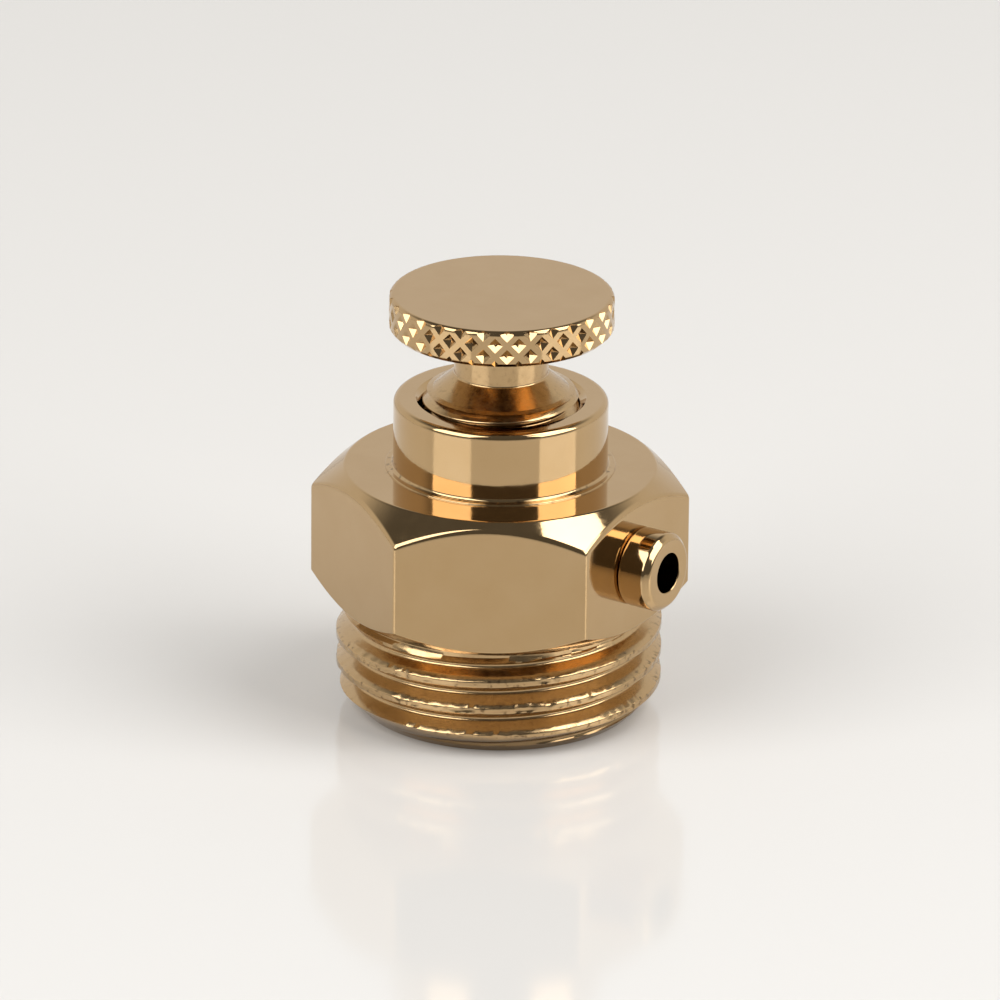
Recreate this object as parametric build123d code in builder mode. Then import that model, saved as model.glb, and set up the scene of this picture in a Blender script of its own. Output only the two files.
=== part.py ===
from build123d import *
import os
from math import cos, pi, radians, sqrt, tan

# Manual air bleed valve for a radiator, shut, standing on its threaded end.
# Z is the axis of the screw, upwards to the knob. X runs out along the outlet nozzle.
# The origin is on the axis, in the plane of the spigot's end face. Sizes are in millimetres.

# Spigot with a half-inch parallel pipe thread, right hand
thread_diameter = 20.955
thread_pitch = 1.814
thread_depth = 1.162
thread_land = 0.30
thread_ridges = 3
first_ridge_height = 1.60
spigot_length = 6.95
lead_in_height = 1.55
lead_in_depth = 1.6

# Hexagon, its corners turned off to a cone above and below
hex_across_flats = 21.0
hex_height = 9.1
hex_land_diameter = 19.9
hex_head_chamfer_angle = 39.0
hex_foot_chamfer_angle = 35.0

# Collar on top of the hexagon, with a low bead round its foot
collar_diameter = 13.7
collar_height = 4.62
collar_edge = 0.38
collar_mouth_diameter = 10.9
bead_width = 0.5
bead_height = 0.1

# Water way from below: inlet bore, web, orifice and raised seat
inlet_diameter = 13.0
inlet_depth = 5.6
inlet_edge = 0.4
web_thickness = 2.4
orifice_diameter = 3.0
seat_diameter = 4.2
seat_height = 0.5

# Bores for the screw
seal_bore_diameter = 8.0
stem_thread_diameter = 10.0
tapped_depth = 4.3

# Bleed screw from the tip upwards
tip_diameter = 6.4
tip_edge = 0.3
seal_rise = 2.15
groove_width = 1.7
groove_flange = 0.45
shank_run_in = 0.5
shank_edge = 0.5
shank_stand_out = 0.15
cone_foot_diameter = 8.7
cone_foot_rise = 0.64
cone_height = 1.09
neck_diameter = 6.0
neck_length = 2.9
neck_fillet = 0.25

# Knob, knurled with pressed diamonds
knob_diameter = 14.3
knob_thickness = 2.41
knob_top_bevel_width = 0.28
knob_top_bevel_height = 0.38
knob_foot_edge = 0.28
knurl_count = 30
pit_diagonal = 0.86
pit_floor = 0.08
pit_wall_angle = 45.0
pit_lift = 0.1

# Soft seals
o_ring_section = 1.3
pad_diameter = 5.0
pad_thickness = 1.6
pad_stand_out = 0.4

# Outlet nozzle, pressed into one flat of the hexagon
nozzle_diameter = 5.1
nozzle_stand_out = 2.3
nozzle_bore_diameter = 2.6
nozzle_edge = 0.35
nozzle_shank_diameter = 4.0
nozzle_shank_length = 3.4

# Clearances
thread_clearance = 0.05
seal_clearance = 0.04
barrel_clearance = 0.06
press_clearance = 0.01
pad_clearance = 0.02
shut_gap = 0.02

# Heights worked out from the sizes above
hex_bottom = spigot_length
hex_top = hex_bottom + hex_height
collar_top = hex_top + collar_height
tapped_floor = collar_top - tapped_depth
chamber_floor = inlet_depth + web_thickness
seat_top = chamber_floor + seat_height
outlet_height = hex_bottom + hex_height / 2

# Radii worked out from the sizes above
thread_radius = thread_diameter / 2
hex_land_radius = hex_land_diameter / 2
hex_corner_radius = hex_across_flats / 2 / cos(radians(30))
collar_radius = collar_diameter / 2
seal_bore_radius = seal_bore_diameter / 2
tapped_radius = stem_thread_diameter / 2 + thread_clearance
hex_chamfer_width = hex_corner_radius - hex_land_radius
hex_head_chamfer_drop = hex_chamfer_width * tan(radians(hex_head_chamfer_angle))
hex_foot_chamfer_drop = hex_chamfer_width * tan(radians(hex_foot_chamfer_angle))


with BuildPart() as valve_body:
    # Hexagon bar, then the cones that take its corners off
    with BuildSketch(Plane.XY.offset(hex_bottom)):
        RegularPolygon(hex_across_flats / 2, 6, major_radius=False, rotation=30)
    extrude(amount=hex_height)
    with BuildSketch(Plane.XZ):
        with BuildLine():
            Polyline(
                (0, hex_bottom),
                (hex_land_radius, hex_bottom),
                (hex_corner_radius, hex_bottom + hex_foot_chamfer_drop),
                (hex_corner_radius, hex_top - hex_head_chamfer_drop),
                (hex_land_radius, hex_top),
                (0, hex_top),
                close=True,
            )
        make_face()
    revolve(axis=Axis.Z, mode=Mode.INTERSECT)

    # Spigot with its lead-in, then one ring of thread form cut between each two ridges
    with BuildSketch(Plane.XZ):
        with BuildLine():
            Polyline(
                (0, 0),
                (thread_radius - lead_in_depth, 0),
                (thread_radius, lead_in_height),
                (thread_radius, hex_bottom),
                (0, hex_bottom),
                close=True,
            )
        make_face()
    revolve(axis=Axis.Z)
    for ridge in range(thread_ridges + 1):
        groove_middle = first_ridge_height + (ridge - 0.5) * thread_pitch
        groove_mouth = thread_pitch - thread_land
        with BuildSketch(Plane.XZ):
            with BuildLine():
                Polyline(
                    (thread_radius, groove_middle - groove_mouth / 2),
                    (thread_radius - thread_depth, groove_middle - thread_land / 2),
                    (thread_radius - thread_depth, groove_middle + thread_land / 2),
                    (thread_radius, groove_middle + groove_mouth / 2),
                    close=True,
                )
            make_face()
        revolve(axis=Axis.Z, mode=Mode.SUBTRACT)

    # Collar, with its foot bead and bevelled rim
    with BuildSketch(Plane.XZ):
        with BuildLine():
            Polyline(
                (0, hex_top),
                (collar_radius + bead_width, hex_top),
                (collar_radius + bead_width, hex_top + bead_height),
                (collar_radius, hex_top + bead_height),
                (collar_radius, collar_top - collar_edge),
                (collar_radius - collar_edge, collar_top),
                (0, collar_top),
                close=True,
            )
        make_face()
    revolve(axis=Axis.Z)

    # Bores from above: seal bore down to the chamber floor, tapped bore and mouth
    with BuildSketch(Plane.XZ):
        mouth_depth = collar_mouth_diameter / 2 - tapped_radius
        with BuildLine():
            Polyline(
                (0, chamber_floor),
                (seal_bore_radius, chamber_floor),
                (seal_bore_radius, tapped_floor),
                (tapped_radius, tapped_floor),
                (tapped_radius, collar_top - mouth_depth),
                (collar_mouth_diameter / 2, collar_top),
                (0, collar_top),
                close=True,
            )
        make_face()
    revolve(axis=Axis.Z, mode=Mode.SUBTRACT)

    # Raised seat, inlet bore from below and the orifice between them
    with BuildSketch(Plane.XY.offset(chamber_floor)):
        Circle(seat_diameter / 2 + seat_height)
    extrude(amount=seat_height, taper=45)
    with BuildSketch(Plane.XY):
        Circle(inlet_diameter / 2)
    extrude(amount=inlet_depth, mode=Mode.SUBTRACT)
    with BuildSketch(Plane.XY):
        Circle(orifice_diameter / 2)
    extrude(amount=seat_top, mode=Mode.SUBTRACT)
    inlet_mouth = valve_body.faces().sort_by(Axis.Z)[0].inner_wires()[0]
    chamfer(inlet_mouth.edges(), length=inlet_edge)

    # Side hole: a seat for the nozzle's shank, then a drilling into the chamber
    shank_hole_floor = hex_across_flats / 2 - nozzle_shank_length
    with BuildSketch(Plane.YZ.offset(shank_hole_floor)):
        with Locations((0, outlet_height)):
            Circle(nozzle_shank_diameter / 2 + press_clearance)
    extrude(amount=nozzle_shank_length, mode=Mode.SUBTRACT)
    with BuildSketch(Plane.YZ):
        with Locations((0, outlet_height)):
            Circle(nozzle_bore_diameter / 2)
    extrude(amount=shank_hole_floor, mode=Mode.SUBTRACT)


# Heights along the screw, taken from the bores that it runs in
pad_bottom = seat_top + shut_gap
tip_bottom = pad_bottom + pad_stand_out
seal_height = outlet_height + seal_rise
groove_bottom = seal_height - groove_width / 2
groove_top = seal_height + groove_width / 2
flange_bottom = groove_bottom - groove_flange
shank_bottom = tapped_floor + shank_run_in
shank_top = collar_top + shank_stand_out
cone_foot = collar_top + cone_foot_rise
neck_bottom = cone_foot + cone_height
knob_bottom = neck_bottom + neck_length
knob_top = knob_bottom + knob_thickness

# Radii along the screw
tip_radius = tip_diameter / 2
barrel_radius = seal_bore_radius - barrel_clearance
shank_radius = stem_thread_diameter / 2
o_ring_outer_radius = seal_bore_radius - seal_clearance
o_ring_centre_radius = o_ring_outer_radius - o_ring_section / 2
groove_radius = o_ring_centre_radius - o_ring_section / 2 - seal_clearance
knob_radius = knob_diameter / 2
neck_radius = neck_diameter / 2


with BuildPart() as pit_cutter:
    # One diamond pit of the knurl, at height zero on the knob's rim.
    # Its mouth lies a little outside the rim, and is wider there by the slope of its walls.
    pit_slope = tan(radians(pit_wall_angle))
    pit_side = pit_diagonal / sqrt(2)
    pit_depth = (pit_side - pit_floor) / 2 / pit_slope
    cutter_depth = pit_depth + pit_lift
    mouth_side = pit_side + 2 * pit_lift * pit_slope
    wall_run = cutter_depth * pit_slope
    with Locations(Location((knob_radius + pit_lift, 0, 0), (0, 0, 90))):
        with Locations(Location((0, 0, 0), (0, 45, 0))):
            Wedge(
                mouth_side,
                cutter_depth,
                mouth_side,
                xmin=wall_run,
                zmin=wall_run,
                xmax=mouth_side - wall_run,
                zmax=mouth_side - wall_run,
                align=(Align.CENTER, Align.MIN, Align.CENTER),
            )


with BuildPart() as bleed_screw:
    # One turning from the tip to the knob
    with BuildSketch(Plane.XZ):
        with BuildLine():
            Polyline(
                (0, tip_bottom),
                (tip_radius - tip_edge, tip_bottom),
                (tip_radius, tip_bottom + tip_edge),
                (tip_radius, flange_bottom),
                (barrel_radius, flange_bottom),
                (barrel_radius, groove_bottom),
                (groove_radius, groove_bottom),
                (groove_radius, groove_top),
                (barrel_radius, groove_top),
                (barrel_radius, shank_bottom),
                (shank_radius - shank_edge, shank_bottom),
                (shank_radius, shank_bottom + shank_edge),
                (shank_radius, shank_top),
                (cone_foot_diameter / 2, cone_foot),
                (neck_radius, neck_bottom),
                (neck_radius, knob_bottom - neck_fillet),
            )
            JernArc(
                start=(neck_radius, knob_bottom - neck_fillet),
                tangent=(0, 1),
                radius=neck_fillet,
                arc_size=-90,
            )
            Polyline(
                (neck_radius + neck_fillet, knob_bottom),
                (knob_radius - knob_foot_edge, knob_bottom),
                (knob_radius, knob_bottom + knob_foot_edge),
                (knob_radius, knob_top - knob_top_bevel_height),
                (knob_radius - knob_top_bevel_width, knob_top),
                (0, knob_top),
                (0, tip_bottom),
            )
        make_face()
    revolve(axis=Axis.Z)

    # Recess in the tip for the sealing pad
    with BuildSketch(Plane.XY.offset(tip_bottom)):
        Circle(pad_diameter / 2 + pad_clearance)
    extrude(amount=pad_thickness - pad_stand_out, mode=Mode.SUBTRACT)

    # Knurl: rows of diamond pits, each row half a pitch round from the last
    knurl_pitch = 2 * pi * knob_radius / knurl_count
    row_count = round(knob_thickness / (knurl_pitch / 2)) + 1
    for row in range(row_count):
        row_turn = (row % 2) * 180 / knurl_count
        with Locations((0, 0, knob_bottom + row * knurl_pitch / 2)):
            with PolarLocations(0, knurl_count, start_angle=row_turn):
                add(pit_cutter.part, mode=Mode.SUBTRACT)


with BuildPart() as stem_o_ring:
    with BuildSketch(Plane.XZ):
        with Locations((o_ring_centre_radius, seal_height)):
            Circle(o_ring_section / 2)
    revolve(axis=Axis.Z)


with BuildPart() as seat_pad:
    with BuildSketch(Plane.XY.offset(pad_bottom)):
        Circle(pad_diameter / 2)
    extrude(amount=pad_thickness)


with BuildPart() as outlet_nozzle:
    nozzle_root = hex_across_flats / 2
    with BuildSketch(Plane.YZ.offset(nozzle_root)):
        with Locations((0, outlet_height)):
            Circle(nozzle_diameter / 2)
    extrude(amount=nozzle_stand_out)
    chamfer(outlet_nozzle.faces().sort_by(Axis.X)[-1].edges(), length=nozzle_edge)
    with BuildSketch(Plane.YZ.offset(nozzle_root)):
        with Locations((0, outlet_height)):
            Circle(nozzle_shank_diameter / 2)
    extrude(amount=-nozzle_shank_length)
    with BuildSketch(Plane.YZ.offset(nozzle_root - nozzle_shank_length)):
        with Locations((0, outlet_height)):
            Circle(nozzle_bore_diameter / 2)
    extrude(amount=nozzle_shank_length + nozzle_stand_out, mode=Mode.SUBTRACT)


os.makedirs("parts", exist_ok=True)
valve_body.part.label = "valve_body"
bleed_screw.part.label = "bleed_screw"
stem_o_ring.part.label = "stem_o_ring"
seat_pad.part.label = "seat_pad"
outlet_nozzle.part.label = "outlet_nozzle"
export_step(valve_body.part, "parts/valve_body.step")
export_step(bleed_screw.part, "parts/bleed_screw.step")
export_step(stem_o_ring.part, "parts/stem_o_ring.step")
export_step(seat_pad.part, "parts/seat_pad.step")
export_step(outlet_nozzle.part, "parts/outlet_nozzle.step")
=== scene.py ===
from collections import namedtuple
from math import atan2, ceil, cos, floor, hypot, pi, radians, sin, sqrt, tan

import bmesh
import bpy
from mathutils import Matrix, Vector, noise


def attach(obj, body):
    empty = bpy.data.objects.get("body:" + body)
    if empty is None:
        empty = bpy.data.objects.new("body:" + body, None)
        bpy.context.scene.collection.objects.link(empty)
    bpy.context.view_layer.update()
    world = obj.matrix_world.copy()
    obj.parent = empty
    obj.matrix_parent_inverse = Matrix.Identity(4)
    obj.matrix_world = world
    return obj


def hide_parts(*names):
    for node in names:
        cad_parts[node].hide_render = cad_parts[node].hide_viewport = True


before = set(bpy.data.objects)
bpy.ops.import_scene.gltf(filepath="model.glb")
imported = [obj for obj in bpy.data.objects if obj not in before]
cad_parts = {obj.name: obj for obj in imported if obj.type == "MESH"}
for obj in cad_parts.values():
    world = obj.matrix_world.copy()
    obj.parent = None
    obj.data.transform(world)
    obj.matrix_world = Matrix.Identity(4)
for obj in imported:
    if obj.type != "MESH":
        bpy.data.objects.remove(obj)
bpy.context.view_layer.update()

# Sizes are in millimetres, and meshes are made in metres
MM = 0.001

# Hexagon body
HEX_BOTTOM = 6.95
HEX_TOP = 16.05
HEX_HALF = 10.5
HEX_LAND_RADIUS = 9.95
HEX_HEAD_SLOPE = tan(radians(39))
HEX_FOOT_SLOPE = tan(radians(35))
HEX_CORNER_ROUND = 0.25
HEX_HEAD_EDGE_ROUND = 0.55
HEX_FOOT_EDGE_ROUND = 0.1
HEX_HEAD_LAND_ROUND = 0.3
HEX_FOOT_LAND_ROUND = 0.2

# Collar
COLLAR_RADIUS = 6.85
COLLAR_TOP = 20.67
COLLAR_EDGE_ROUND = 0.38
MOUTH_RADIUS = 5.45
MOUTH_EDGE_ROUND = 0.06
BEAD_WIDTH = 0.5
BEAD_HEIGHT = 0.1
BEAD_FOOT_ROUND = 0.03
BEAD_EDGE_ROUND = 0.06
BEAD_FILLET = 0.2

# Bores
INLET_RADIUS = 6.5
INLET_DEPTH = 5.6
INLET_EDGE = 0.4
INLET_EDGE_ROUND = 0.08
CHAMBER_FLOOR = 8.0
SEAT_RADIUS = 2.1
SEAT_HEIGHT = 0.5
SEAT_EDGE_ROUND = 0.05
ORIFICE_RADIUS = 1.5
SEAL_BORE_RADIUS = 4.0
SEAL_BORE_EDGE_ROUND = 0.1
TAPPED_RADIUS = 5.05
TAPPED_FLOOR = 16.37
OUTLET_HEIGHT = 11.5

# Pipe thread
PIPE_RADIUS = 10.44
PIPE_PITCH = 1.814
PIPE_DEPTH = 1.162
PIPE_ROUND = 0.2491
PIPE_FLANK = radians(27.5)
PIPE_CREST = 3.62
PIPE_RUN_OUT = 0.05
CREST_FLATTENING = 0.1
LEAD_IN_HEIGHT = 1.55
LEAD_IN_DEPTH = 1.56
END_ROUND = 0.12
END_EDGE_ROUND = 0.05
RELIEF_HEIGHT = 6.4
RELIEF_SLOPE = 1.9

# Dents along the thread's crests
CREST_DENT = 0.1
DENT_REACH = 0.3
DENT_FADE = 0.2
DENT_STRETCH = 2
DENT_SIZES = (0.5, 1.9)
DENT_THRESHOLD = 0.15

# Bleed screw
TIP_BOTTOM = 8.92
TIP_RADIUS = 3.2
TIP_EDGE = 0.3
TIP_EDGE_ROUND = 0.05
TIP_TOP_ROUND = 0.1
PAD_RADIUS = 2.5
PAD_CLEARANCE = 0.02
RECESS_DEPTH = 1.2
BARREL_RADIUS = 3.94
BARREL_EDGE_ROUND = 0.06
FLANGE_BOTTOM = 12.35
GROOVE_BOTTOM = 12.8
GROOVE_TOP = 14.5
GROOVE_RADIUS = 2.62
GROOVE_ROUND = 0.1
SHANK_RADIUS = 5.0
SHANK_BOTTOM = 16.87
SHANK_TOP = 20.82
SHANK_FOOT_EDGE = 0.6
SHANK_FOOT_ROUND = 0.1
SHANK_HEAD_SLOPE = 0.72
SHANK_PITCH = 1.0
SHANK_DEPTH = 0.58
SHANK_ROUND = 0.1
SHANK_FLANK = radians(30)
SHANK_CREST = 20.9
SHANK_RUN_OUT = 0.1
CONE_FOOT_RADIUS = 4.35
CONE_FOOT = 21.31
CONE_FOOT_ROUND = 0.08
CONE_TOP_ROUND = 0.2
NECK_RADIUS = 3.0
NECK_BOTTOM = 22.40
NECK_FILLET = 0.25
KNOB_RADIUS = 7.15
KNOB_BOTTOM = 25.30
KNOB_TOP = 27.71
KNOB_TOP_ROUND = 0.3
KNOB_FOOT_EDGE = 0.28
KNOB_FOOT_ROUND = 0.1
KNOB_RIM_ROUND = 0.12

# Knurl
KNURL_COUNT = 30
KNURL_ROWS = 4
PIT_DIAGONAL = 0.98
PIT_SLOPE = 0.8
PIT_LIFT = 0.1
PIT_TIP_RADIUS = 0.03

# Seals
O_RING_CENTRE = 3.31
O_RING_HEIGHT = 13.65
O_RING_SECTION = 0.65
PAD_BOTTOM = 8.52
PAD_TOP = 10.12
PAD_FOOT_ROUND = 0.15
PAD_TOP_ROUND = 0.1

# Outlet nozzle, and the drilled hole that it is pressed into
NOZZLE_RADIUS = 2.55
NOZZLE_END = 12.8
NOZZLE_BORE = 1.3
NOZZLE_BORE_ROUND = 0.08
NOZZLE_SHANK_RADIUS = 2.0
NOZZLE_SHANK_END = 7.1
NOZZLE_SHANK_ROUND = 0.1
NOZZLE_EDGE = 0.35
NOZZLE_EDGE_ROUND = 0.3
NOZZLE_SEAM_ROUND = 0.28
NOZZLE_OUTLINE_GAP = 1
PRESS_CLEARANCE = 0.01
DRILL_START = 0.5
DRILL_PAST_FLAT = 1

# Brass: the size of each grain with its detail, the least and most roughness, and the depth of the relief.
# Real buffing marks and grit are finer, and these are as coarse as they need to be to show.
POLISH_GRAINS = {"clouds": (2.5, 3), "haze": (0.8, 3), "waves": (0.9, 2)}
WEAR_GRAINS = {"specks": (0.35, 4), "satin": (0.4, 3), "grit": (0.3, 3)}
BRASS_ROUGHNESS = {"haze": (0.05, 0.11), "satin": (0.13, 0.24)}
WAVE_DEPTH = 0.0015
GRIT_DEPTH = 0.004

# Camera, as the photograph sees the valve
CAMERA_AZIMUTH = 33.2
CAMERA_ELEVATION = 21.6
CAMERA_DISTANCE = 650
CAMERA_LENS = 366.5
CAMERA_SENSOR = 36
CAMERA_TARGET_HEIGHT = 13.6
CAMERA_ROLL = 0.55

# Studio: each soft box has its azimuth from the camera, elevation, width and height in degrees, and radiance
SOFT_BOXES = {
    "left_soft_box": (-54, 38, 44, 48, 3.5),
    "right_soft_box": (65, 33, 44, 38, 3.9),
    "right_top_box": (84, 62, 26, 22, 4.8),
}
SOFT_BOX_DISTANCE = 700
FLOOR_REACH = 3000
FRONT_LEVEL = 0.13
BACKDROP_LEVEL = 0.82

# Mesh steps, and the angles past which an edge stays sharp
ARC_STEPS = 6
STRIP_WIDTH = 0.03
STRIP_SHARE = 0.25
FLAT_STEPS = 60
THREAD_ROUND_STEPS = 3
SCREW_STEPS = 240
NOZZLE_STEPS = 192
O_RING_STEPS = 96
O_RING_SECTION_STEPS = 24
PAD_STEPS = 64
DRILL_STEPS = 64
SHARP_ANGLE = 40
KNURL_SHARP_ANGLE = 24
MERGE_DISTANCE = 0.0002
SLIVER_LENGTH = 0.0001


# Shapes

Thread = namedtuple("Thread", "radius pitch depth rounding flank crest low high envelope")


def arc_points(before, corner, after, radius):
    """Points of a round of that radius where the line turns at a corner."""
    back = (Vector(before) - Vector(corner)).normalized()
    ahead = (Vector(after) - Vector(corner)).normalized()
    half = back.angle(ahead) / 2
    reach = radius / tan(half)
    centre = Vector(corner) + (back + ahead).normalized() * radius / sin(half)
    start = Vector(corner) + back * reach - centre
    turn = start.angle_signed(Vector(corner) + ahead * reach - centre)
    points = []
    for step in range(ARC_STEPS + 1):
        spin = Matrix.Rotation(-turn * step / ARC_STEPS, 2)
        points.append(tuple(centre + spin @ start))
    return points


def rounded(corners):
    """A line of (radius, height, round) corners with each round drawn as an arc.

    A short strip at both ends of each straight keeps the shading of the round off the straight."""
    points = []
    for index, (radius, height, rounding) in enumerate(corners):
        turn = [(radius, height)]
        if rounding:
            before = corners[index - 1][:2]
            after = corners[index + 1][:2]
            turn = arc_points(before, (radius, height), after, rounding)
        if points:
            straight = Vector(turn[0]) - Vector(points[-1])
            strip = straight * min(STRIP_SHARE, STRIP_WIDTH / max(straight.length, STRIP_WIDTH))
            points += [tuple(Vector(points[-1]) + strip), tuple(Vector(turn[0]) - strip)]
        points += turn
    return points


def thread_offsets(thread):
    """Heights across one turn of the thread, from root to root, that its round form needs."""
    swing = pi / 2 - thread.flank
    rises = []
    for step in range(THREAD_ROUND_STEPS + 1):
        rises.append(thread.rounding * sin(swing * step / THREAD_ROUND_STEPS))
    half = thread.pitch / 2
    root = [rise - half for rise in rises]
    crest = [-rise for rise in reversed(rises)] + rises[1:]
    far_root = [half - rise for rise in reversed(rises[1:])]
    return root + [-half / 2] + crest + [half / 2] + far_root


def thread_form(thread, distance):
    """Radius of the thread at a distance along the axis from a crest."""
    away = abs((distance + thread.pitch / 2) % thread.pitch - thread.pitch / 2)
    edge = thread.rounding * cos(thread.flank)
    from_root = thread.pitch / 2 - away
    if away < edge:
        return thread.radius - thread.rounding + sqrt(thread.rounding ** 2 - away ** 2)
    root_radius = thread.radius - thread.depth
    if from_root < edge:
        return root_radius + thread.rounding - sqrt(thread.rounding ** 2 - from_root ** 2)
    crest_drop = thread.rounding * (1 - sin(thread.flank))
    return thread.radius - crest_drop - (away - edge) / tan(thread.flank)


def thread_points(thread, angle, start_angle):
    """One side of the thread at an angle: rows that climb one pitch in a turn, kept within its ends."""
    offsets = thread_offsets(thread)
    start_crest = thread.crest + thread.pitch * start_angle / (2 * pi)
    first_turn = floor((thread.low - start_crest) / thread.pitch) - 1
    turns = ceil((thread.high - thread.low) / thread.pitch) + 3
    crest = thread.crest + thread.pitch * angle / (2 * pi)
    points = []
    for turn in range(first_turn, first_turn + turns):
        for offset in offsets:
            height = min(max(crest + turn * thread.pitch + offset, thread.low), thread.high)
            radius = min(thread_form(thread, height - crest), thread.envelope(height))
            points.append((radius, height))
    return points


def even_angles(count):
    return [2 * pi * step / count for step in range(count)]


def turned_mesh(name, angles, profile, thread_at=None, closed=False):
    """Joins the side profile at each angle into one skin round the axis.

    The rows of a thread, thread_at = (first, last, rows in a turn), join one turn higher at the seam."""
    grid = bmesh.new()
    columns = []
    for angle in angles:
        column = []
        for radius, height in profile(angle):
            place = Vector((radius * cos(angle), radius * sin(angle), height)) * MM
            column.append(grid.verts.new(place))
        columns.append(column)

    def past_seam(row):
        if thread_at and thread_at[0] <= row <= thread_at[1]:
            return min(row + thread_at[2], thread_at[1])
        return row

    rows = len(columns[0])
    for index, column in enumerate(columns):
        seam = index == len(columns) - 1
        after = columns[0] if seam else columns[index + 1]
        for row in range(rows if closed else rows - 1):
            above = (row + 1) % rows
            near, far = (past_seam(row), past_seam(above)) if seam else (row, above)
            corners = dict.fromkeys([column[row], after[near], after[far], column[above]])
            if len(corners) > 2:
                grid.faces.new(corners)
    bmesh.ops.remove_doubles(grid, verts=grid.verts, dist=MERGE_DISTANCE * MM)
    bmesh.ops.dissolve_degenerate(grid, edges=grid.edges, dist=SLIVER_LENGTH * MM)
    bmesh.ops.recalc_face_normals(grid, faces=grid.faces)
    mesh = bpy.data.meshes.new(name)
    grid.to_mesh(mesh)
    grid.free()
    return mesh


def along_x(mesh):
    """Lays a turned mesh along the nozzle's axis, from the valve's axis outwards."""
    mesh.transform(Matrix.Translation((0, 0, OUTLET_HEIGHT * MM)) @ Matrix.Rotation(pi / 2, 4, "Y"))
    return mesh


def new_object(name, data):
    made = bpy.data.objects.new(name, data)
    bpy.context.collection.objects.link(made)
    return made


def settle(made):
    """Gives the object the plain mesh that its modifiers make, and takes them off."""
    depsgraph = bpy.context.evaluated_depsgraph_get()
    mesh = bpy.data.meshes.new_from_object(made.evaluated_get(depsgraph))
    mesh.name = made.name
    made.modifiers.clear()
    made.data = mesh


def finish_piece(made, material, body, node, sharp_angle=SHARP_ANGLE):
    """Shades the piece smooth up to the sharp angle, and puts it on its body in place of the CAD node."""
    made.data.shade_smooth()
    made.data.set_sharp_from_angle(angle=radians(sharp_angle))
    made.data.materials.clear()
    made.data.materials.append(material)
    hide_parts(node)
    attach(made, body)


# Materials

def linear(hex_colour):
    """Linear RGBA of an sRGB hex colour."""
    channels = [int(hex_colour[i:i + 2], 16) / 255 for i in (1, 3, 5)]
    return [c / 12.92 if c <= 0.04045 else ((c + 0.055) / 1.055) ** 2.4 for c in channels] + [1]


def add_node(tree, kind, settings=None, values=None, links=None):
    """Adds a node with its settings, its input values and the sockets that feed its inputs."""
    node = tree.nodes.new(kind)
    for key, value in (settings or {}).items():
        setattr(node, key, value)
    for key, value in (values or {}).items():
        node.inputs[key].default_value = value
    for key, socket in (links or {}).items():
        tree.links.new(socket, node.inputs[key])
    return node


def new_material(name):
    material = bpy.data.materials.new(name)
    material.use_nodes = True
    tree = material.node_tree
    tree.nodes.clear()
    return material, tree


def wear_and_painted_shade_masks(tree, place, speckle, satin_top):
    """Where the brass is worn to a satin, and where it is painted darker: specks of grime, and a painted
    shade on the thread's end chamfer.
    """
    height = add_node(tree, "ShaderNodeSeparateXYZ", links={0: place}).outputs["Z"]
    level = add_node(tree, "ShaderNodeVectorMath", {"operation": "MULTIPLY"}, {1: (1, 1, 0)}, {0: place})
    radius = add_node(
        tree, "ShaderNodeVectorMath", {"operation": "LENGTH"}, links={0: level.outputs[0]},
    ).outputs["Value"]
    masks = {
        "specks": add_node(
            tree, "ShaderNodeMapRange", {},
            {"From Min": 0.56, "From Max": 0.68, "To Max": 0.7}, {"Value": speckle},
        ).outputs[0],
    }
    # Each zone runs from one height or radius to another, with its strength at both
    zones = {
        "worn": (height, satin_top - 0.02, satin_top - 0.1, 0, 1),
        "crest": (radius, PIPE_RADIUS - 0.35, PIPE_RADIUS - 0.15, 0.25, 1),
        # The thread's end chamfer is painted darker: a painted shade that stands in for the shadowed floor
        # it would mirror.
        "end_chamfer_painted_shade": (height, 0.6 * LEAD_IN_HEIGHT, 0.9 * LEAD_IN_HEIGHT, 0.55, 0),
        "beside_collar": (radius, COLLAR_RADIUS + 0.15, COLLAR_RADIUS + 0.75, 1, 0),
        "above_hexagon": (height, HEX_TOP + 0.35, HEX_TOP + 0.1, 0, 1),
    }
    for zone, (measure, start, end, at_start, at_end) in zones.items():
        masks[zone] = add_node(
            tree, "ShaderNodeMapRange", {},
            {"From Min": start * MM, "From Max": end * MM, "To Min": at_start, "To Max": at_end},
            {"Value": measure},
        ).outputs[0]
    # The grime specks and the end chamfer's painted shade join into one mask for the dark brown.
    joined = (
        ("speckled_crest", "MULTIPLY", "crest", "specks"),
        ("thread_grime_and_painted_shade", "MAXIMUM", "speckled_crest", "end_chamfer_painted_shade"),
        ("worn_grime_and_painted_shade", "MULTIPLY", "thread_grime_and_painted_shade", "worn"),
        ("collar_foot", "MULTIPLY", "beside_collar", "above_hexagon"),
        ("collar_grime", "MULTIPLY", "collar_foot", "specks"),
        ("grime_and_painted_shade", "MAXIMUM", "worn_grime_and_painted_shade", "collar_grime"),
    )
    for mask, operation, first, second in joined:
        masks[mask] = add_node(
            tree, "ShaderNodeMath", {"operation": operation}, {}, {0: masks[first], 1: masks[second]},
        ).outputs[0]
    return masks["worn"], masks["grime_and_painted_shade"]


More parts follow.
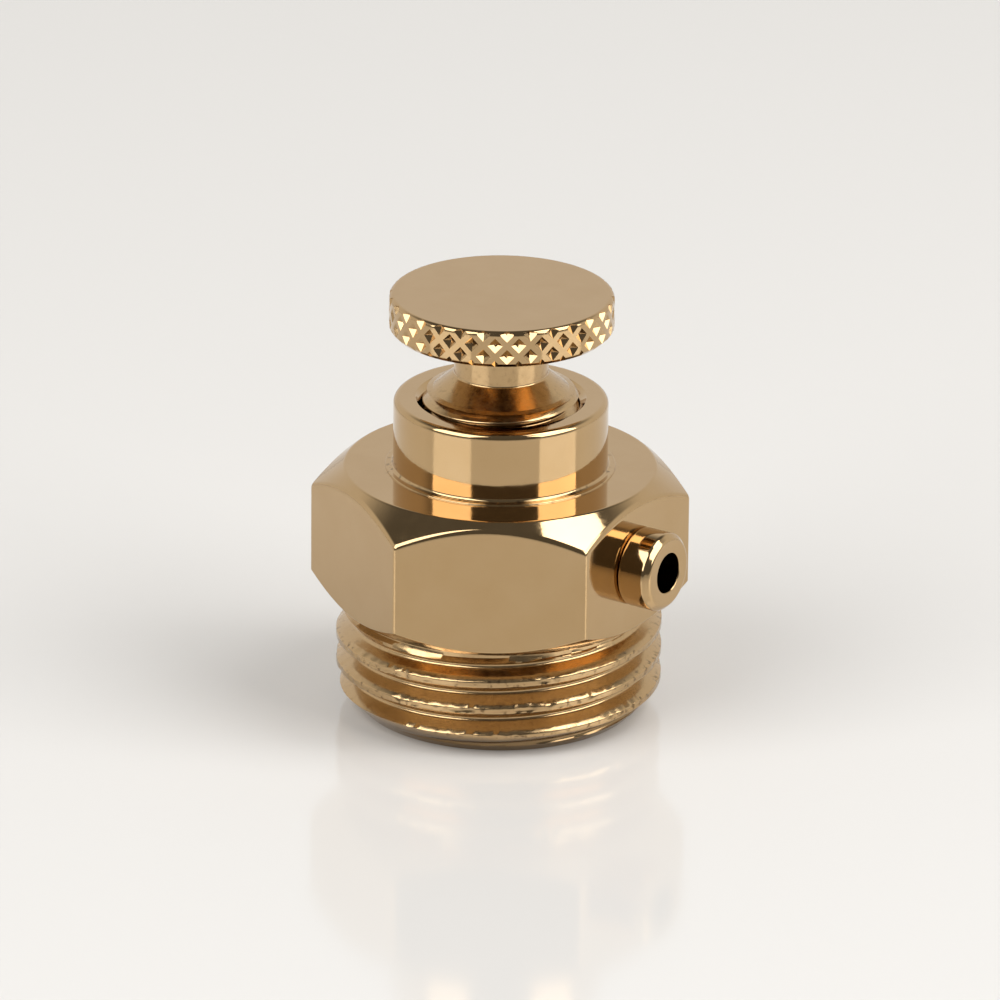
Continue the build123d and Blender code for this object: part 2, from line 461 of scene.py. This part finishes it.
def polished_brass(name, satin_top=None):
    """Leaded brass, turned and buffed: a warm mirror with faint clouds and a trace of waviness.

    Below satin_top it is worn to a gritty satin. Specks of grime sit on the pipe thread's crests and
    round the collar's foot, and the thread's end chamfer is painted darker, a painted shade."""
    material, tree = new_material(name)
    place = add_node(tree, "ShaderNodeTexCoord").outputs["Object"]
    grain = {}
    roughness = {}
    grains = {**POLISH_GRAINS, **WEAR_GRAINS} if satin_top else POLISH_GRAINS
    for use, (size, detail) in grains.items():
        grain[use] = add_node(
            tree, "ShaderNodeTexNoise", {}, {"Scale": 1 / (size * MM), "Detail": detail}, {"Vector": place},
        ).outputs["Fac"]
        if use in BRASS_ROUGHNESS:
            least, most = BRASS_ROUGHNESS[use]
            roughness[use] = add_node(
                tree, "ShaderNodeMapRange", {},
                {"From Min": 0.3, "From Max": 0.7, "To Min": least, "To Max": most}, {"Value": grain[use]},
            ).outputs[0]
    colour = add_node(
        tree, "ShaderNodeMix", {"data_type": "RGBA"},
        {"A": linear("#BB9C70"), "B": linear("#C4A77E")}, {"Factor": grain["clouds"]},
    ).outputs["Result"]
    polish, relief, relief_depth = roughness["haze"], grain["waves"], WAVE_DEPTH
    if satin_top:
        worn, grime_and_painted_shade = wear_and_painted_shade_masks(tree, place, grain["specks"], satin_top)
        # Dark brown over the grime specks, and a painted shade over the thread's end chamfer.
        colour = add_node(
            tree, "ShaderNodeMix", {"data_type": "RGBA"},
            {"B": linear("#5A4630")}, {"Factor": grime_and_painted_shade, "A": colour},
        ).outputs["Result"]
        polish = add_node(
            tree, "ShaderNodeMix", {}, {}, {"Factor": worn, "A": polish, "B": roughness["satin"]},
        ).outputs["Result"]
        relief = add_node(
            tree, "ShaderNodeMix", {}, {}, {"Factor": worn, "A": relief, "B": grain["grit"]},
        ).outputs["Result"]
        relief_depth = GRIT_DEPTH
    surface = add_node(
        tree, "ShaderNodeBump", {}, {"Strength": 1, "Distance": relief_depth * MM}, {"Height": relief},
    ).outputs["Normal"]
    shader = add_node(
        tree, "ShaderNodeBsdfPrincipled", {}, {"Metallic": 1},
        {"Base Color": colour, "Roughness": polish, "Normal": surface},
    )
    add_node(tree, "ShaderNodeOutputMaterial", links={"Surface": shader.outputs["BSDF"]})
    return material


def black_rubber():
    """Moulded nitrile rubber: near black, with a dull sheen."""
    material, tree = new_material("black_rubber")
    shader = add_node(
        tree, "ShaderNodeBsdfPrincipled", values={"Base Color": linear("#1A1A1A"), "Roughness": 0.55},
    )
    add_node(tree, "ShaderNodeOutputMaterial", links={"Surface": shader.outputs["BSDF"]})
    return material


def studio_floor():
    """Glossy acrylic sheet: pale, with a soft mirror image of the soft boxes for the brass to show."""
    material, tree = new_material("studio_floor")
    shader = add_node(
        tree, "ShaderNodeBsdfPrincipled", values={"Base Color": linear("#E0DEDB"), "Roughness": 0.1},
    )
    add_node(tree, "ShaderNodeOutputMaterial", links={"Surface": shader.outputs["BSDF"]})
    return material


# Hexagon body

def hexagon_stations():
    """Angles round the hexagon, each with the distance from the axis to its side there."""
    corner_centre = (HEX_HALF - HEX_CORNER_ROUND) / cos(pi / 6)
    flat_end = atan2((HEX_HALF - HEX_CORNER_ROUND) * tan(pi / 6), HEX_HALF)
    stations = []
    for side in range(6):
        middle = side * pi / 3
        for step in range(FLAT_STEPS + 1):
            angle = flat_end * (2 * step / FLAT_STEPS - 1)
            stations.append((middle + angle, HEX_HALF / cos(angle)))
        for step in range(1, ARC_STEPS):
            turn = pi / 3 * (step / ARC_STEPS - 0.5)
            along = corner_centre + HEX_CORNER_ROUND * cos(turn)
            across = HEX_CORNER_ROUND * sin(turn)
            stations.append((middle + pi / 6 + atan2(across, along), hypot(along, across)))
    return stations


def spigot_envelope(height):
    """Largest radius of the spigot: the lead-in cone below and the relief under the hexagon."""
    lead_in = PIPE_RADIUS - LEAD_IN_DEPTH * (1 - height / LEAD_IN_HEIGHT)
    relief = PIPE_RADIUS - PIPE_DEPTH + max(0, RELIEF_HEIGHT - height) * RELIEF_SLOPE
    return min(lead_in, relief, PIPE_RADIUS)


def crest_dent(angle, radius, height):
    """Depth of the dents that knocks have left along the thread's crests."""
    near_crest = min(max((radius - PIPE_RADIUS + DENT_REACH) / DENT_FADE, 0), 1)
    place = Vector((cos(angle) * PIPE_RADIUS, sin(angle) * PIPE_RADIUS, height * DENT_STRETCH))
    dents = sum(noise.noise(place / size) for size in DENT_SIZES)
    return near_crest * CREST_DENT * max(0, dents - DENT_THRESHOLD)


def outlet_drill():
    """The tool that bores the outlet's hole: the nozzle's seat, then its bore on into the chamber."""
    seat_radius = NOZZLE_SHANK_RADIUS + PRESS_CLEARANCE
    outer_end = HEX_HALF + DRILL_PAST_FLAT
    corners = [
        (0, DRILL_START),
        (NOZZLE_BORE, DRILL_START),
        (NOZZLE_BORE, NOZZLE_SHANK_END),
        (seat_radius, NOZZLE_SHANK_END),
        (seat_radius, outer_end),
        (0, outer_end),
    ]
    mesh = turned_mesh("outlet_drill", even_angles(DRILL_STEPS), lambda angle: corners)
    return new_object("outlet_drill", along_x(mesh))


def make_valve_body(material):
    stations = hexagon_stations()
    reach_at = dict(stations)
    start_angle = stations[0][0]
    end_radius = PIPE_RADIUS - LEAD_IN_DEPTH
    mouth_depth = MOUTH_RADIUS - TAPPED_RADIUS
    seat_top = CHAMBER_FLOOR + SEAT_HEIGHT
    bead_radius = COLLAR_RADIUS + BEAD_WIDTH
    bead_top = HEX_TOP + BEAD_HEIGHT
    thread_low = END_ROUND
    thread_high = HEX_BOTTOM - PIPE_RUN_OUT
    pipe_thread = Thread(
        PIPE_RADIUS + CREST_FLATTENING, PIPE_PITCH, PIPE_DEPTH, PIPE_ROUND, PIPE_FLANK, PIPE_CREST,
        thread_low, thread_high, spigot_envelope,
    )
    below_thread = rounded([
        (INLET_RADIUS, INLET_DEPTH, 0),
        (INLET_RADIUS, INLET_EDGE, INLET_EDGE_ROUND),
        (INLET_RADIUS + INLET_EDGE, 0, INLET_EDGE_ROUND),
        (end_radius, 0, END_EDGE_ROUND),
        (spigot_envelope(thread_low), thread_low, 0),
    ])[:-1]

    def profile(angle):
        reach = reach_at[angle]
        head_drop = (reach - HEX_LAND_RADIUS) * HEX_HEAD_SLOPE
        foot_rise = (reach - HEX_LAND_RADIUS) * HEX_FOOT_SLOPE
        above_thread = rounded([
            (spigot_envelope(thread_high), thread_high, 0),
            (spigot_envelope(HEX_BOTTOM), HEX_BOTTOM, 0),
            (HEX_LAND_RADIUS, HEX_BOTTOM, HEX_FOOT_LAND_ROUND),
            (reach, HEX_BOTTOM + foot_rise, HEX_FOOT_EDGE_ROUND),
            (reach, HEX_TOP - head_drop, HEX_HEAD_EDGE_ROUND),
            (HEX_LAND_RADIUS, HEX_TOP, HEX_HEAD_LAND_ROUND),
            (bead_radius, HEX_TOP, BEAD_FOOT_ROUND),
            (bead_radius, bead_top, BEAD_EDGE_ROUND),
            (COLLAR_RADIUS, bead_top, BEAD_FILLET),
            (COLLAR_RADIUS, COLLAR_TOP, COLLAR_EDGE_ROUND),
            (MOUTH_RADIUS, COLLAR_TOP, MOUTH_EDGE_ROUND),
            (TAPPED_RADIUS, COLLAR_TOP - mouth_depth, MOUTH_EDGE_ROUND),
            (TAPPED_RADIUS, TAPPED_FLOOR, 0),
            (SEAL_BORE_RADIUS, TAPPED_FLOOR, SEAL_BORE_EDGE_ROUND),
            (SEAL_BORE_RADIUS, CHAMBER_FLOOR, 0),
            (SEAT_RADIUS + SEAT_HEIGHT, CHAMBER_FLOOR, 0),
            (SEAT_RADIUS, seat_top, SEAT_EDGE_ROUND),
            (ORIFICE_RADIUS, seat_top, SEAT_EDGE_ROUND),
            (ORIFICE_RADIUS, INLET_DEPTH, 0),
        ])
        worn_thread = []
        for radius, height in thread_points(pipe_thread, angle, start_angle):
            worn_thread.append((radius - crest_dent(angle, radius, height), height))
        return below_thread + worn_thread + above_thread

    first_row = len(below_thread)
    thread_rows = len(thread_points(pipe_thread, start_angle, start_angle))
    thread_at = (first_row, first_row + thread_rows - 1, len(thread_offsets(pipe_thread)))
    angles = [angle for angle, _ in stations]
    made = new_object("valve_body_brass", turned_mesh("valve_body_brass", angles, profile, thread_at, True))
    drill = outlet_drill()
    cut = made.modifiers.new("outlet hole", "BOOLEAN")
    cut.operation = "DIFFERENCE"
    cut.solver = "EXACT"
    cut.object = drill
    settle(made)
    bpy.data.objects.remove(drill)
    finish_piece(made, material, "valve", "valve_body")


# Bleed screw

def shank_envelope(height):
    """Largest radius of the shank: its chamfered foot and its turned-down top."""
    foot = SHANK_RADIUS - SHANK_FOOT_EDGE + (height - SHANK_BOTTOM)
    head = SHANK_RADIUS + (SHANK_TOP - height) * SHANK_HEAD_SLOPE
    return min(foot, head)


def make_bleed_screw(material):
    shank_low = SHANK_BOTTOM
    shank_high = CONE_FOOT - SHANK_RUN_OUT
    shank_thread = Thread(
        SHANK_RADIUS, SHANK_PITCH, SHANK_DEPTH, SHANK_ROUND, SHANK_FLANK, SHANK_CREST,
        shank_low, shank_high, shank_envelope,
    )
    recess_radius = PAD_RADIUS + PAD_CLEARANCE
    recess_top = TIP_BOTTOM + RECESS_DEPTH
    below_thread = rounded([
        (0, recess_top, 0),
        (recess_radius, recess_top, 0),
        (recess_radius, TIP_BOTTOM, TIP_EDGE_ROUND),
        (TIP_RADIUS - TIP_EDGE, TIP_BOTTOM, TIP_EDGE_ROUND),
        (TIP_RADIUS, TIP_BOTTOM + TIP_EDGE, TIP_EDGE_ROUND),
        (TIP_RADIUS, FLANGE_BOTTOM, TIP_TOP_ROUND),
        (BARREL_RADIUS, FLANGE_BOTTOM, BARREL_EDGE_ROUND),
        (BARREL_RADIUS, GROOVE_BOTTOM, BARREL_EDGE_ROUND),
        (GROOVE_RADIUS, GROOVE_BOTTOM, GROOVE_ROUND),
        (GROOVE_RADIUS, GROOVE_TOP, GROOVE_ROUND),
        (BARREL_RADIUS, GROOVE_TOP, BARREL_EDGE_ROUND),
        (BARREL_RADIUS, SHANK_BOTTOM, SHANK_FOOT_ROUND),
        (shank_envelope(shank_low), shank_low, 0),
    ])
    above_thread = rounded([
        (shank_envelope(shank_high), shank_high, 0),
        (CONE_FOOT_RADIUS, CONE_FOOT, CONE_FOOT_ROUND),
        (NECK_RADIUS, NECK_BOTTOM, CONE_TOP_ROUND),
        (NECK_RADIUS, KNOB_BOTTOM, NECK_FILLET),
        (KNOB_RADIUS - KNOB_FOOT_EDGE, KNOB_BOTTOM, KNOB_FOOT_ROUND),
        (KNOB_RADIUS, KNOB_BOTTOM + KNOB_FOOT_EDGE, KNOB_RIM_ROUND),
        (KNOB_RADIUS, KNOB_TOP, KNOB_TOP_ROUND),
        (0, KNOB_TOP, 0),
    ])

    def profile(angle):
        return below_thread + thread_points(shank_thread, angle, 0) + above_thread

    first_row = len(below_thread)
    thread_rows = len(thread_points(shank_thread, 0, 0))
    thread_at = (first_row, first_row + thread_rows - 1, len(thread_offsets(shank_thread)))
    mesh = turned_mesh("bleed_screw_brass", even_angles(SCREW_STEPS), profile, thread_at)
    made = new_object("bleed_screw_brass", mesh)
    knurl = made.modifiers.new("knurl", "NODES")
    knurl.node_group = knurl_tree()
    sizes = {
        "Count": KNURL_COUNT,
        "Rows": KNURL_ROWS,
        "Rim radius": (KNOB_RADIUS + PIT_LIFT) * MM,
        "First row": KNOB_BOTTOM * MM,
        "Row pitch": pi * KNOB_RADIUS / KNURL_COUNT * MM,
        "Pit reach": (PIT_DIAGONAL / 2 + PIT_LIFT / PIT_SLOPE * sqrt(2)) * MM,
        "Pit depth": (PIT_DIAGONAL / 2 / sqrt(2) * PIT_SLOPE + PIT_LIFT) * MM,
        "Pit tip": PIT_TIP_RADIUS * MM,
        "Finish": material,
    }
    for item in knurl.node_group.interface.items_tree:
        if item.item_type == "SOCKET" and item.name in sizes:
            knurl[item.identifier] = sizes[item.name]
    settle(made)
    finish_piece(made, material, "screw", "bleed_screw", KNURL_SHARP_ANGLE)


def knurl_tree():
    """Rings of four-sided points pressed into the rim, each ring half a pitch round from the last."""
    tree = bpy.data.node_groups.new("knurl", "GeometryNodeTree")
    sockets = {
        "Geometry": "NodeSocketGeometry",
        "Count": "NodeSocketInt",
        "Rows": "NodeSocketInt",
        "Rim radius": "NodeSocketFloat",
        "First row": "NodeSocketFloat",
        "Row pitch": "NodeSocketFloat",
        "Pit reach": "NodeSocketFloat",
        "Pit depth": "NodeSocketFloat",
        "Pit tip": "NodeSocketFloat",
        "Finish": "NodeSocketMaterial",
    }
    for name, kind in sockets.items():
        tree.interface.new_socket(name, in_out="INPUT", socket_type=kind)
    tree.interface.new_socket("Geometry", in_out="OUTPUT", socket_type="NodeSocketGeometry")
    given = add_node(tree, "NodeGroupInput").outputs
    ring = add_node(
        tree, "GeometryNodeMeshCircle",
        links={"Vertices": given["Count"], "Radius": given["Rim radius"]},
    )
    point = add_node(
        tree, "GeometryNodeMeshCone", values={"Vertices": 4},
        links={
            "Radius Top": given["Pit tip"], "Radius Bottom": given["Pit reach"], "Depth": given["Pit depth"],
        },
    )
    place = add_node(tree, "GeometryNodeInputPosition")
    inward = add_node(
        tree, "ShaderNodeVectorMath", {"operation": "SCALE"},
        values={"Scale": -1}, links={0: place.outputs["Position"]},
    )
    aim = add_node(
        tree, "FunctionNodeAlignRotationToVector", {"axis": "Z"}, links={"Vector": inward.outputs[0]},
    )
    upright = add_node(
        tree, "FunctionNodeAlignRotationToVector", {"axis": "X", "pivot_axis": "Z"},
        values={"Vector": (0, 0, 1)}, links={"Rotation": aim.outputs[0]},
    )
    pits = add_node(
        tree, "GeometryNodeInstanceOnPoints",
        links={"Points": ring.outputs[0], "Instance": point.outputs["Mesh"], "Rotation": upright.outputs[0]},
    )
    step = add_node(tree, "ShaderNodeCombineXYZ", links={"Z": given["Row pitch"]})
    first = add_node(tree, "ShaderNodeCombineXYZ", links={"Z": given["First row"]})
    heights = add_node(
        tree, "GeometryNodeMeshLine",
        links={"Count": given["Rows"], "Start Location": first.outputs[0], "Offset": step.outputs[0]},
    )
    row = add_node(tree, "GeometryNodeInputIndex")
    odd = add_node(tree, "ShaderNodeMath", {"operation": "MODULO"}, {1: 2}, {0: row.outputs[0]})
    half_pitch = add_node(tree, "ShaderNodeMath", {"operation": "DIVIDE"}, {0: pi}, {1: given["Count"]})
    turn = add_node(
        tree, "ShaderNodeMath", {"operation": "MULTIPLY"},
        links={0: odd.outputs[0], 1: half_pitch.outputs[0]},
    )
    spin = add_node(tree, "ShaderNodeCombineXYZ", links={"Z": turn.outputs[0]})
    rows = add_node(
        tree, "GeometryNodeInstanceOnPoints",
        links={"Points": heights.outputs[0], "Instance": pits.outputs[0], "Rotation": spin.outputs[0]},
    )
    cutters = add_node(tree, "GeometryNodeRealizeInstances", links={"Geometry": rows.outputs[0]})
    pressed = add_node(
        tree, "GeometryNodeMeshBoolean", {"operation": "DIFFERENCE", "solver": "EXACT"},
        links={"Mesh 1": given["Geometry"], "Mesh 2": cutters.outputs[0]},
    )
    whole = add_node(tree, "GeometryNodeRealizeInstances", links={"Geometry": pressed.outputs["Mesh"]})
    finish = add_node(
        tree, "GeometryNodeSetMaterial",
        links={"Geometry": whole.outputs[0], "Material": given["Finish"]},
    )
    add_node(tree, "NodeGroupOutput", links={"Geometry": finish.outputs[0]})
    return tree


# Nozzle and seals

def make_outlet_nozzle(material):
    """A tube whose outline runs from the shank's inner end, out over the spout and back into the bore.

    It stops short of where it started by the outline's gap, which the closed mesh bridges."""
    corners = rounded([
        (NOZZLE_BORE, NOZZLE_SHANK_END, 0),
        (NOZZLE_SHANK_RADIUS, NOZZLE_SHANK_END, NOZZLE_SHANK_ROUND),
        (NOZZLE_SHANK_RADIUS, HEX_HALF, 0),
        (NOZZLE_RADIUS, HEX_HALF, NOZZLE_SEAM_ROUND),
        (NOZZLE_RADIUS, NOZZLE_END - NOZZLE_EDGE, NOZZLE_EDGE_ROUND),
        (NOZZLE_RADIUS - NOZZLE_EDGE, NOZZLE_END, NOZZLE_EDGE_ROUND),
        (NOZZLE_BORE, NOZZLE_END, NOZZLE_BORE_ROUND),
        (NOZZLE_BORE, NOZZLE_SHANK_END + NOZZLE_OUTLINE_GAP, 0),
    ])
    angles = even_angles(NOZZLE_STEPS)
    mesh = turned_mesh("outlet_nozzle_brass", angles, lambda angle: corners, closed=True)
    made = new_object("outlet_nozzle_brass", along_x(mesh))
    finish_piece(made, material, "valve", "outlet_nozzle")


def make_stem_o_ring(material):
    section = []
    for turn in even_angles(O_RING_SECTION_STEPS):
        radius = O_RING_CENTRE + O_RING_SECTION * cos(turn)
        section.append((radius, O_RING_HEIGHT + O_RING_SECTION * sin(turn)))
    angles = even_angles(O_RING_STEPS)
    mesh = turned_mesh("stem_o_ring_rubber", angles, lambda angle: section, closed=True)
    made = new_object("stem_o_ring_rubber", mesh)
    finish_piece(made, material, "stem_seal", "stem_o_ring")


def make_seat_pad(material):
    disc = rounded([
        (0, PAD_BOTTOM, 0),
        (PAD_RADIUS, PAD_BOTTOM, PAD_FOOT_ROUND),
        (PAD_RADIUS, PAD_TOP, PAD_TOP_ROUND),
        (0, PAD_TOP, 0),
    ])
    mesh = turned_mesh("seat_pad_rubber", even_angles(PAD_STEPS), lambda angle: disc)
    made = new_object("seat_pad_rubber", mesh)
    finish_piece(made, material, "screw", "seat_pad")


# Studio

def make_floor(material):
    sheet = bmesh.new()
    bmesh.ops.create_grid(sheet, x_segments=1, y_segments=1, size=FLOOR_REACH * MM)
    mesh = bpy.data.meshes.new("studio_floor")
    sheet.to_mesh(mesh)
    sheet.free()
    mesh.materials.append(material)
    new_object("studio_floor", mesh)


def from_camera(azimuth, elevation):
    """Direction seen from the valve, with azimuth counted to the right from the camera's own."""
    around = radians(CAMERA_AZIMUTH - 90 + azimuth)
    level = cos(radians(elevation))
    return Vector((cos(around) * level, sin(around) * level, sin(radians(elevation))))


def make_soft_box(name, azimuth, elevation, width, height, radiance):
    """A soft box that faces the valve, sized in degrees as the valve sees it."""
    distance = SOFT_BOX_DISTANCE * MM
    lamp = bpy.data.lights.new(name, "AREA")
    lamp.shape = "RECTANGLE"
    lamp.size = 2 * distance * tan(radians(width / 2))
    lamp.size_y = 2 * distance * tan(radians(height / 2))
    lamp.energy = radiance * pi * lamp.size * lamp.size_y
    panel = new_object(name, lamp)
    outward = from_camera(azimuth, elevation)
    panel.location = outward * distance + Vector((0, 0, HEX_TOP * MM))
    panel.rotation_euler = (-outward).to_track_quat("-Z", "Y").to_euler()
    panel.visible_camera = False


def make_light():
    """Soft boxes at the left, right and upper right, a pale backdrop and little light from the front."""
    for name, placing in SOFT_BOXES.items():
        make_soft_box(name, *placing)
    world = bpy.data.worlds.new("studio")
    bpy.context.scene.world = world
    world.use_nodes = True
    tree = world.node_tree
    tree.nodes.clear()
    looking = add_node(tree, "ShaderNodeTexCoord").outputs["Generated"]
    behind = add_node(
        tree, "ShaderNodeVectorMath", {"operation": "DOT_PRODUCT"},
        {1: -from_camera(0, 0)}, {0: looking},
    ).outputs["Value"]
    height = add_node(tree, "ShaderNodeSeparateXYZ", links={0: looking}).outputs["Z"]
    # The backdrop comes in behind the valve, and fades out towards the top
    edges = {}
    for edge, (measure, none, full) in {"side": (behind, -0.4, 0.15), "top": (height, 0.8, 0.5)}.items():
        edges[edge] = add_node(
            tree, "ShaderNodeMapRange", {"interpolation_type": "SMOOTHSTEP"},
            {"From Min": none, "From Max": full}, {"Value": measure},
        ).outputs[0]
    backdrop = add_node(
        tree, "ShaderNodeMath", {"operation": "MULTIPLY"}, {}, {0: edges["side"], 1: edges["top"]},
    ).outputs[0]
    strength = add_node(
        tree, "ShaderNodeMapRange", {},
        {"To Min": FRONT_LEVEL, "To Max": BACKDROP_LEVEL}, {"Value": backdrop},
    ).outputs[0]
    glow = add_node(tree, "ShaderNodeBackground", {}, {"Color": linear("#FFFCF7")}, {"Strength": strength})
    add_node(tree, "ShaderNodeOutputWorld", links={"Surface": glow.outputs[0]})


def make_camera():
    lens = bpy.data.cameras.new("photo_camera")
    lens.lens = CAMERA_LENS
    lens.sensor_width = CAMERA_SENSOR
    camera = new_object("photo_camera", lens)
    back = from_camera(0, CAMERA_ELEVATION)
    target = Vector((0, 0, CAMERA_TARGET_HEIGHT * MM))
    camera.location = target + back * CAMERA_DISTANCE * MM
    aim = (-back).to_track_quat("-Z", "Y").to_matrix().to_4x4()
    turned = aim @ Matrix.Rotation(radians(CAMERA_ROLL), 4, "Z")
    camera.rotation_euler = turned.to_euler()
    bpy.context.scene.camera = camera


rubber = black_rubber()
# The valve body's brass has a painted shade on the thread's end chamfer.
make_valve_body(polished_brass("polished_brass_worn_thread_painted_shade", HEX_BOTTOM))
make_bleed_screw(polished_brass("polished_brass_satin_stem", KNOB_BOTTOM))
make_outlet_nozzle(polished_brass("polished_brass"))
make_stem_o_ring(rubber)
make_seat_pad(rubber)
make_floor(studio_floor())
make_light()
make_camera()
bpy.context.scene.view_settings.view_transform = "Standard"
